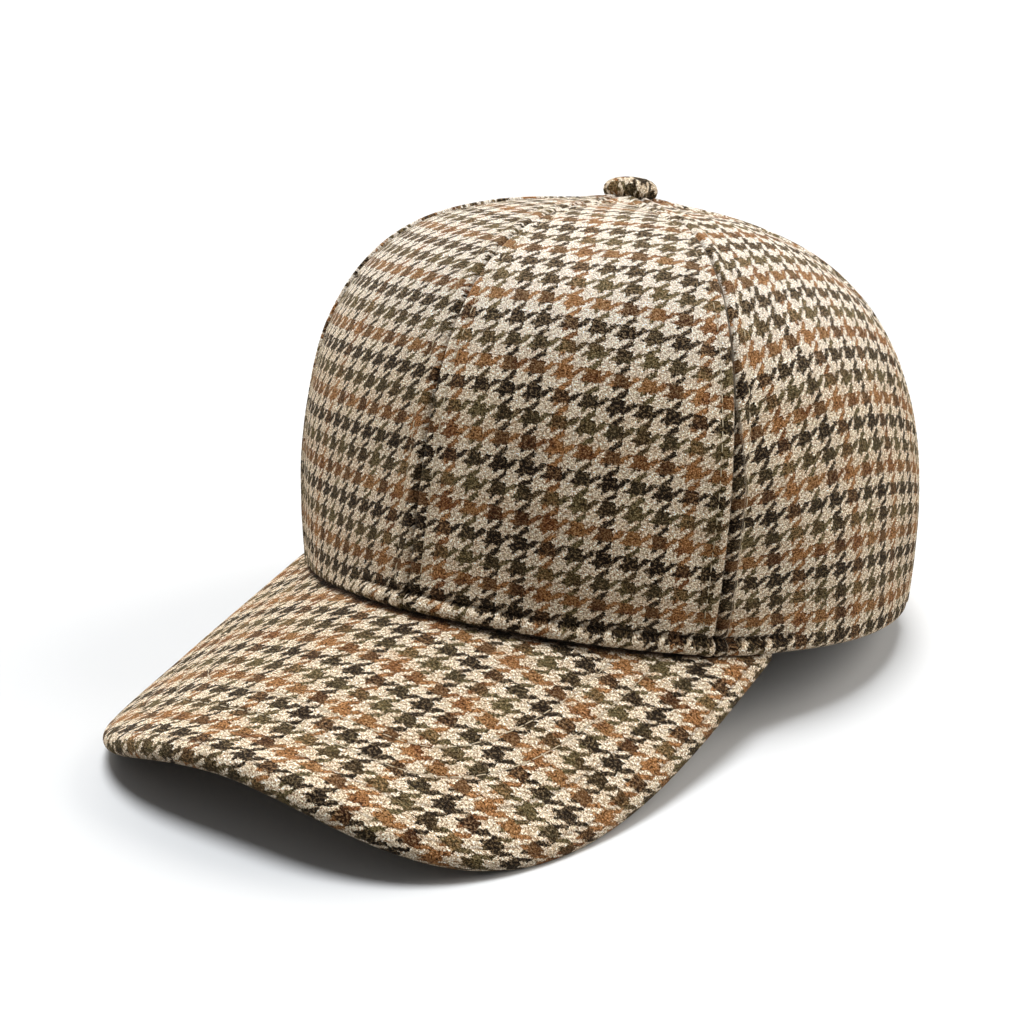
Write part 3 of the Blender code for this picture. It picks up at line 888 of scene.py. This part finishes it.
def visor_weave(x, y):
    """UV in checks over the visor's plan."""
    radius = visor_radius(y)
    side = radius * np.arcsin(x / radius)
    forward = (-y - CROWN_FRONT_REACH) / math.cos(VISOR_PITCH)
    bend = VISOR_ROW_BEND / MM * (side - VISOR_ROW_BEND_PLACE * MM) ** 2
    wide, tall = (size * MM for size in VISOR_CHECK)
    u = (side - VISOR_STRIPE * MM) / wide
    v = -(forward + bend - VISOR_ROW * MM) / tall
    return np.stack([u, v], axis=-1) + DARK_SHARE / 2


def visor_surface(x, y):
    return np.stack([x, y, visor_height(x, y)], axis=-1)


def visor_normals(x, y):
    step = NORMAL_STEP
    slope_x = (visor_height(x + step, y) - visor_height(x - step, y)) / (2 * step)
    slope_y = (visor_height(x, y + step) - visor_height(x, y - step)) / (2 * step)
    return units(np.stack([-slope_x, -slope_y, np.ones_like(slope_x)], axis=-1))


def visor_relief(points, from_edge):
    """How far the cloth of the visor stands off its plain surface."""
    grooves = sum(dip(from_edge - inset * MM, VISOR_STITCH_GROOVE)
                  for inset in VISOR_STITCH_INSETS)
    height, size, seed = VISOR_WAVES
    waves = height * soft_noise(points, size, seed) * fade(from_edge, *VISOR_WAVES_FADE)
    return waves - VISOR_STITCH_DEPTH * grooves


class Visor:
    """The visor as a grid: first axis round its edge, second from the crown outwards."""

    def __init__(self):
        edge, _, outward = visor_outline()
        root = visor_root()
        rim_centre = edge - outward * VISOR_BEAD
        share = np.linspace(0.0, 1.0, VISOR_ROWS + 1)
        plan = root[:, None] + (rim_centre - root)[:, None] * share[None, :, None]
        x, y = plan[..., 0], plan[..., 1]
        normal = visor_normals(x, y)
        from_edge = np.full(x.shape, np.inf)
        for edge_x, edge_y in evenly(edge, EDGE_FINENESS * VISOR_COLUMNS):
            from_edge = np.minimum(from_edge, np.hypot(x - edge_x, y - edge_y))
        in_bead = 1 - fade(from_edge, VISOR_BEAD, BEAD_WIDTH)
        swell = (VISOR_BEAD - VISOR_THICKNESS / 2) * in_bead
        plain = visor_surface(x, y)
        below = plain - normal * (VISOR_THICKNESS + swell)[..., None]
        top = plain + normal * (visor_relief(plain, from_edge) + swell)[..., None]
        # half a turn round the bead, from the upper side to the lower one
        slope = (visor_height(*(rim_centre + outward * MM).T) - visor_height(*rim_centre.T)) / MM
        out = units(np.column_stack([outward, slope]))[:, None]
        middle = (top[:, -1] + below[:, -1])[:, None] / 2
        turn = np.linspace(math.pi / 2, -math.pi / 2, VISOR_RIM_STEPS + 1)[1:-1]
        outwards = out * np.cos(turn)[None, :, None]
        upwards = normal[:, -1][:, None] * np.sin(turn)[None, :, None]
        rim = middle + (outwards + upwards) * VISOR_BEAD
        past = (math.pi / 2 - turn) * VISOR_BEAD
        rim_plan = rim_centre[:, None] + outward[:, None] * past[None, :, None]
        last_plan = (rim_centre + outward * math.pi * VISOR_BEAD)[:, None]
        self.upper = np.concatenate([top, rim, below[:, -1:]], axis=1)
        self.upper_plan = np.concatenate([plan, rim_plan, last_plan], axis=1)
        self.lower = below[:, ::-1]
        self.lower_plan = plan[:, ::-1]
        # point by point: the shade painted under the crown, and the distance to the edge
        from_crown = np.linalg.norm(plan - root[:, None], axis=-1) - CLOTH
        ends = (np.abs(edge[:, 0]) < VISOR_HALF_WIDTH)[:, None]
        self.root_shade = ends * (1 - fade(from_crown, *ROOT_SHADE_FADE))
        stitched = from_edge < VISOR_STITCH_INSETS[-1] * MM + PAST_LAST_STITCH
        self.from_edge = np.where(stitched, from_edge / MM, 0.0)

    def stitching(self, name, material):
        """Rows of stitches following the visor's edge, as far as the crown."""
        edge, along, outward = visor_outline()
        rows = []
        for inset in VISOR_STITCH_INSETS:
            line = edge - outward * inset * MM
            theta = np.arctan2(line[:, 0] / CROWN_HALF_WIDTH, -line[:, 1] / CROWN_FRONT_REACH)
            hem = plan_point(theta, section_value(theta, "hem_ratio"))
            onward = np.sum(np.gradient(line, axis=0) * along, axis=1)
            clear = ((onward > ONWARD * np.sum(along**2, axis=1))
                     & (np.hypot(*line.T) > np.hypot(*hem) + VISOR_STITCH_CLEAR))
            x, y = line[clear].T
            points = visor_surface(x, y)
            lift = visor_relief(points, inset * MM + 0 * x)
            rows.append((points + visor_normals(x, y) * lift[:, None], visor_normals(x, y)))
        return stitching_mesh(name, rows, material, VISOR_STITCH_LENGTH, VISOR_STITCH_RADIUS)

    def mesh(self, material):
        under_points = self.lower[:, 1:]
        front = numbered(self.upper)
        under = np.concatenate([front[:, -1:], numbered(under_points) + front.size], axis=1)
        points = np.concatenate([self.upper.reshape(-1, 3), under_points.reshape(-1, 3)])
        vertices = laid_down(points)
        vertices[:, 2] = np.maximum(vertices[:, 2], 0.0)
        upper_uv = visor_weave(self.upper_plan[..., 0], self.upper_plan[..., 1])
        lower_uv = visor_weave(self.lower_plan[..., 0], self.lower_plan[..., 1])
        lower_uv = lower_uv + UNDERSIDE_SHIFT
        closing = np.stack([front[:, 0], under[:, -1]], axis=1)
        closing_uv = np.stack([upper_uv[:, 0], upper_uv[:, 0] + CLOSING_UV], axis=1)
        patches = [patch(front[::-1], upper_uv[::-1]), patch(under[::-1], lower_uv[::-1]),
                   patch(closing, closing_uv)]
        # the two corners are folded shut
        whole = np.concatenate([front, under[:, 1:]], axis=1)
        whole_uv = np.concatenate([upper_uv, lower_uv[:, 1:]], axis=1)
        half = whole.shape[1] // 2
        for end, turned in ((0, 1), (-1, -1)):
            pairs = np.stack([whole[end, :half], whole[end, ::-1][:half]])
            pair_uv = np.stack([whole_uv[end, :half], whole_uv[end, :half] + CLOSING_UV])
            patches.append(patch(pairs[::turned], pair_uv[::turned]))
        upper_side = front[:, : VISOR_ROWS + 1].ravel()
        hollow, from_edge = np.zeros((2, len(vertices)))
        hollow[upper_side] = self.root_shade.ravel()
        from_edge[upper_side] = self.from_edge.ravel()
        return make_mesh("visor_cloth", vertices, patches, material,
                         hollow=hollow, from_edge=from_edge)


# ==== Button ====
BUTTON_PROFILE = (               # radius and height, in millimetres
    (0.0, 6.4), (2.0, 6.3), (4.0, 6.0), (5.6, 5.4), (6.7, 4.5), (7.3, 3.4),
    (7.4, 2.3), (7.1, 1.2), (6.2, 0.4), (4.4, 0.1), (2.4, 0.3),
)
BUTTON_SIDES = 96
BUTTON_FINENESS = 4              # rings for each row of its profile
BUTTON_CHECK = 6.2 * MM
BUTTON_CHECK_SHIFT = (0.95, 0.55)
BUTTON_FOLDS = ((9, 0.05, 0.7), (14, 0.03, 0.0))  # round its edge: count, depth, turn
BUTTON_FOLD_FADE = (3.5 * MM, 4 * MM)            # from its middle
BUTTON_SHADE = 0.8
BUTTON_SHADE_FADE = (0.0, 2.6 * MM)              # from its foot


def button_mesh(material):
    top_of_crown = crown_points(np.array([0.0]), np.array([1.0]))[0][0, 0, 2]
    apex = np.array([0.0, -APEX_FORWARD, top_of_crown])
    rows = np.arange(len(BUTTON_PROFILE))
    fine = np.linspace(0, rows[-1], BUTTON_FINENESS * rows[-1] + 1)
    radius, height = (np.interp(fine, rows, column) for column in np.array(BUTTON_PROFILE).T * MM)
    turn = np.linspace(0, 2 * math.pi, BUTTON_SIDES, endpoint=False)
    folds = sum(depth * np.sin(count * turn + start) for count, depth, start in BUTTON_FOLDS)
    strength = fade(radius, *BUTTON_FOLD_FADE)
    ring = radius[:, None] * (1 + folds[None] * strength[:, None])
    height_round = height[:, None] + 0 * ring
    points = np.stack([ring * np.cos(turn), ring * np.sin(turn), height_round], axis=-1)
    vertices = laid_down((points + apex).reshape(-1, 3))
    index = numbered(points)
    index = np.concatenate([index, index[:, :1]], axis=1)
    unrolled = travelled_along(np.stack([radius, height], axis=1), 0)[:, None]
    around = np.concatenate([turn, [2 * math.pi]])
    uv = np.stack([unrolled * np.cos(around), unrolled * np.sin(around)], axis=-1)
    uv = uv / (-BUTTON_CHECK, BUTTON_CHECK) + BUTTON_CHECK_SHIFT
    # painted shade, darker towards the button's foot
    low = np.repeat(BUTTON_SHADE * (1 - fade(height, *BUTTON_SHADE_FADE)), BUTTON_SIDES)
    return make_mesh("button_cloth", vertices, [patch(index, uv)], material, hollow=low)


# ==== Scene ====
FLOOR_HALF = 40.0                # metres
FLOOR_FOR_CAP = (0.25, 0.25, 0.25, 1.0)          # how bright it is to the cap
FLOOR_FOR_CAMERA = (0.77, 0.77, 0.77, 1.0)
WORLD_FOR_CAP = 0.16
WORLD_FOR_CAMERA = 1.05
SUNS = (                         # name, the way to it, degrees across, strength, colour
    ("overhead", (0.0, 0.0, 1.0), 26, 2.8, (0.97, 1.0, 1.03)),
    ("behind_left", (0.61, 0.61, 0.5), 50, 2.1, (1.0, 0.96, 0.9)),
    ("behind_right", (-0.61, 0.61, 0.5), 50, 1.0, (1.0, 0.96, 0.9)),
)
CAP_SUNS = (                     # these light the cap alone
    ("side_right", (-1.0, -0.12, 0.36), 50, 3.3, (1.0, 0.97, 0.93)),
    ("side_left", (1.0, 0.0, 0.14), 50, 1.4, (1.0, 0.97, 0.93)),
)


def build_stage():
    """A floor that shows white but throws little light back up at the cap."""
    mesh = bpy.data.meshes.new("floor")
    turns = ((-1, -1), (1, -1), (1, 1), (-1, 1))
    corners = [(FLOOR_HALF * x, FLOOR_HALF * y, 0) for x, y in turns]
    mesh.from_pydata(corners, [], [(0, 1, 2, 3)])
    graph = Graph("floor_white")
    path = graph.node("ShaderNodeLightPath")
    white = graph.mix(path.outputs["Is Camera Ray"], FLOOR_FOR_CAP, FLOOR_FOR_CAMERA)
    graph.plug(graph.shader.inputs["Base Color"], white)
    graph.shader.inputs["Roughness"].default_value = 1.0
    graph.shader.inputs["Specular IOR Level"].default_value = 0.0
    mesh.materials.append(graph.material)
    floor = bpy.data.objects.new("floor", mesh)
    bpy.context.scene.collection.objects.link(floor)


def sun_light(name, source, spread, power, colour):
    data = bpy.data.lights.new(name, "SUN")
    data.color = colour
    data.angle = math.radians(spread)
    data.energy = power
    light = bpy.data.objects.new(name, data)
    light.rotation_euler = Vector(source).to_track_quat("Z", "Y").to_euler()
    bpy.context.scene.collection.objects.link(light)
    return light


def build_lights():
    world = bpy.data.worlds.new("studio")
    bpy.context.scene.world = world
    world.use_nodes = True
    tree = world.node_tree
    background = tree.nodes["Background"]
    background.inputs["Color"].default_value = WHITE
    path = tree.nodes.new("ShaderNodeLightPath")
    strength = tree.nodes.new("ShaderNodeMapRange")
    strength.inputs["To Min"].default_value = WORLD_FOR_CAP
    strength.inputs["To Max"].default_value = WORLD_FOR_CAMERA
    tree.links.new(path.outputs["Is Camera Ray"], strength.inputs["Value"])
    tree.links.new(strength.outputs[0], background.inputs["Strength"])
    for sun in SUNS:
        sun_light(*sun)
    on_cap = bpy.data.collections.new("lit_by_strips")
    for piece in bpy.context.scene.objects:
        if piece.type == "MESH" and piece.name != "floor":
            on_cap.objects.link(piece)
    for sun in CAP_SUNS:
        sun_light(*sun).light_linking.receiver_collection = on_cap


def build_camera():
    data = bpy.data.cameras.new("camera")
    data.lens = CAMERA_LENS
    data.sensor_width = CAMERA_SENSOR
    data.sensor_fit = "HORIZONTAL"
    camera = bpy.data.objects.new("camera", data)
    flat = math.cos(CAMERA_ELEVATION)
    back = Vector((math.sin(CAMERA_AZIMUTH) * flat, -math.cos(CAMERA_AZIMUTH) * flat,
                   math.sin(CAMERA_ELEVATION)))
    camera.location = CAMERA_TARGET + back * CAMERA_DISTANCE
    camera.rotation_euler = back.to_track_quat("Z", "Y").to_euler()
    bpy.context.scene.collection.objects.link(camera)
    bpy.context.scene.camera = camera


def build_cap():
    orders = dict.fromkeys(row["order"] for row in PANELS)
    tweeds = {order: tweed_material("tweed_" + order, order) for order in orders}
    tweed = tweeds[REGULAR_ORDER]
    thread = thread_material()
    for row in PANELS:
        panel = Panel(row)
        cloth = panel.mesh(tweeds[row["order"]])
        add_piece(row["name"] + "_cloth", cloth, "crown_tweed", row["name"])
        stitching = row["name"].replace("panel", "stitching")
        add_piece(stitching, panel.stitching(stitching, thread), "crown_tweed")
    visor = Visor()
    add_piece("visor_cloth", visor.mesh(tweed), "visor_tweed", "visor")
    add_piece("stitching_visor", visor.stitching("stitching_visor", thread), "visor_tweed")
    add_piece("button_cloth", button_mesh(tweed), "button_tweed", "button")


bpy.context.scene.view_settings.view_transform = "Standard"
build_camera()
build_stage()
build_cap()
build_lights()
